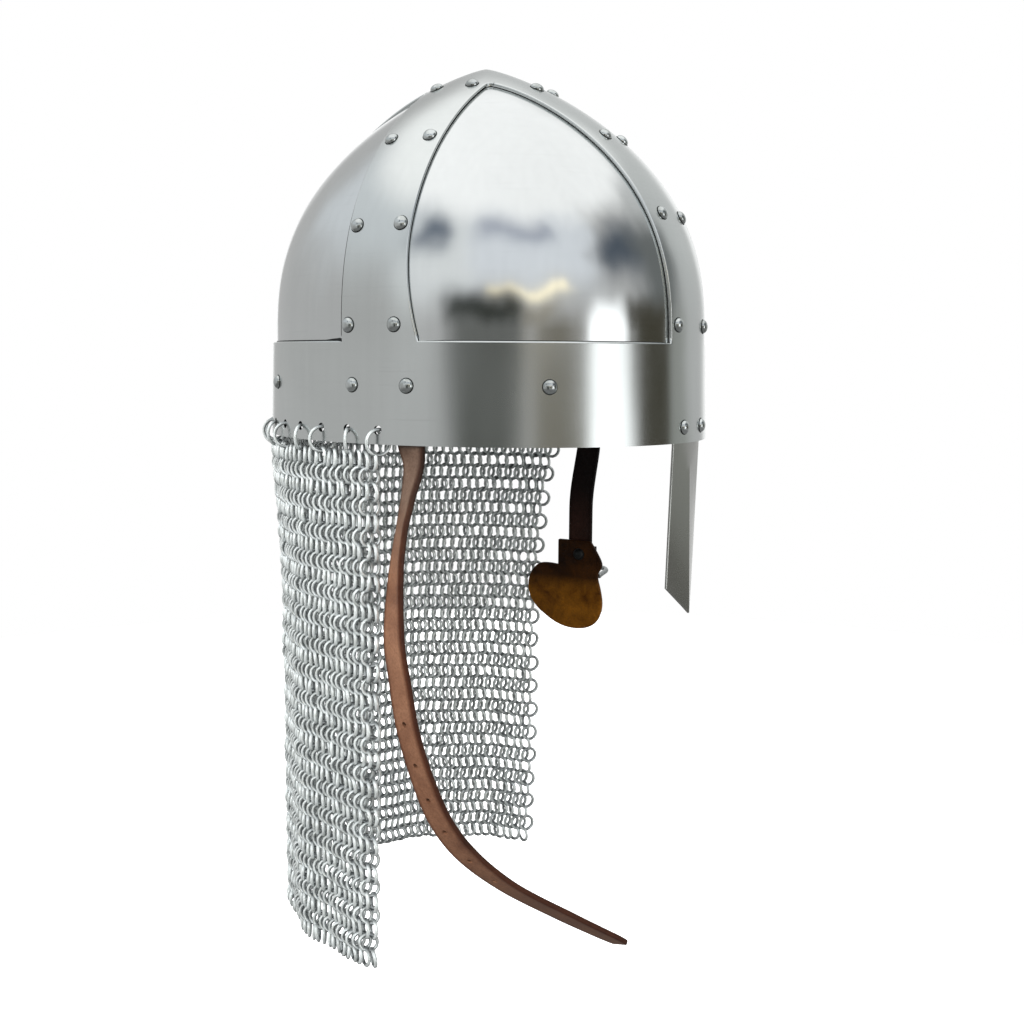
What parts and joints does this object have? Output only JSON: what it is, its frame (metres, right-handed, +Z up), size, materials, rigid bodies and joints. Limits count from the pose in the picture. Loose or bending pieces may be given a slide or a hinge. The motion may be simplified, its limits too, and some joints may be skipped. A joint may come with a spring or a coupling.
{
  "type": "spangenhelm helmet",
  "caption": "Riveted steel helmet with a banded pointed crown, a nose guard, a hanging mail neck curtain, a long leather chin strap and a buckle on a short strap.",
  "frame": {"origin": "centre of the rim, in the plane of the brow band's lower edge", "axes": "+Z up through the crown's point, -Y forward over the nose guard, -X to the wearer's right"},
  "size_m": [0.221, 0.2419, 0.4585],
  "materials": {
    "plate_steel": "finely brushed and polished sheet steel",
    "rivet_steel": "domed polished rivets, slightly darker",
    "mail_steel": "plain steel wire rings, pale silver",
    "buckle_steel": "plain dark steel",
    "brown_leather": "smooth red-brown leather",
    "dark_leather": "smooth near-black brown leather",
    "tan_leather": "tan-brown leather with darkened edges"
  },
  "bodies": {
    "helmet": {"buckle_guard": "tan_leather", "frame": "plate_steel", "guard_rivet": "rivet_steel", "mail_curtain": "mail_steel", "nasal": "plate_steel", "plate_front_left": "plate_steel", "plate_front_right": "plate_steel", "plate_rear_left": "plate_steel", "plate_rear_right": "plate_steel", "rivet_back_left_1": "rivet_steel", "rivet_back_left_2": "rivet_steel", "rivet_back_left_3": "rivet_steel", "rivet_back_left_4": "rivet_steel", "rivet_back_right_1": "rivet_steel", "rivet_back_right_2": "rivet_steel", "rivet_back_right_3": "rivet_steel", "rivet_back_right_4": "rivet_steel", "rivet_brow_front_left": "rivet_steel", "rivet_brow_front_right": "rivet_steel", "rivet_brow_rear_left": "rivet_steel", "rivet_brow_rear_right": "rivet_steel", "rivet_brow_side_left": "rivet_steel", "rivet_brow_side_right": "rivet_steel", "rivet_brow_strap_left": "rivet_steel", "rivet_brow_strap_right": "rivet_steel", "rivet_front_left_1": "rivet_steel", "rivet_front_left_2": "rivet_steel", "rivet_front_left_3": "rivet_steel", "rivet_front_left_4": "rivet_steel", "rivet_front_right_1": "rivet_steel", "rivet_front_right_2": "rivet_steel", "rivet_front_right_3": "rivet_steel", "rivet_front_right_4": "rivet_steel", "rivet_left_front_1": "rivet_steel", "rivet_left_front_2": "rivet_steel", "rivet_left_front_3": "rivet_steel", "rivet_left_front_4": "rivet_steel", "rivet_left_rear_1": "rivet_steel", "rivet_left_rear_2": "rivet_steel", "rivet_left_rear_3": "rivet_steel", "rivet_left_rear_4": "rivet_steel", "rivet_nasal_left": "rivet_steel", "rivet_nasal_right": "rivet_steel", "rivet_right_front_1": "rivet_steel", "rivet_right_front_2": "rivet_steel", "rivet_right_front_3": "rivet_steel", "rivet_right_front_4": "rivet_steel", "rivet_right_rear_1": "rivet_steel", "rivet_right_rear_2": "rivet_steel", "rivet_right_rear_3": "rivet_steel", "rivet_right_rear_4": "rivet_steel", "strap_long": "brown_leather", "strap_short": "dark_leather"},
    "buckle": {"buckle_frame": "buckle_steel"},
    "prong": {"buckle_prong": "buckle_steel"}
  },
  "joints": [
    {"name": "buckle_turn", "type": "hinge", "parent": "helmet", "child": "buckle", "pos_m": [0.09728, -0.01157, -0.0906], "axis": [0, -1, 0], "range_deg": [-98, 14]},
    {"name": "prong_turn", "type": "hinge", "parent": "buckle", "child": "prong", "pos_m": [0.09728, -0.01157, -0.0906], "axis": [0, -1, 0], "range_deg": [0, 25]}
  ]
}
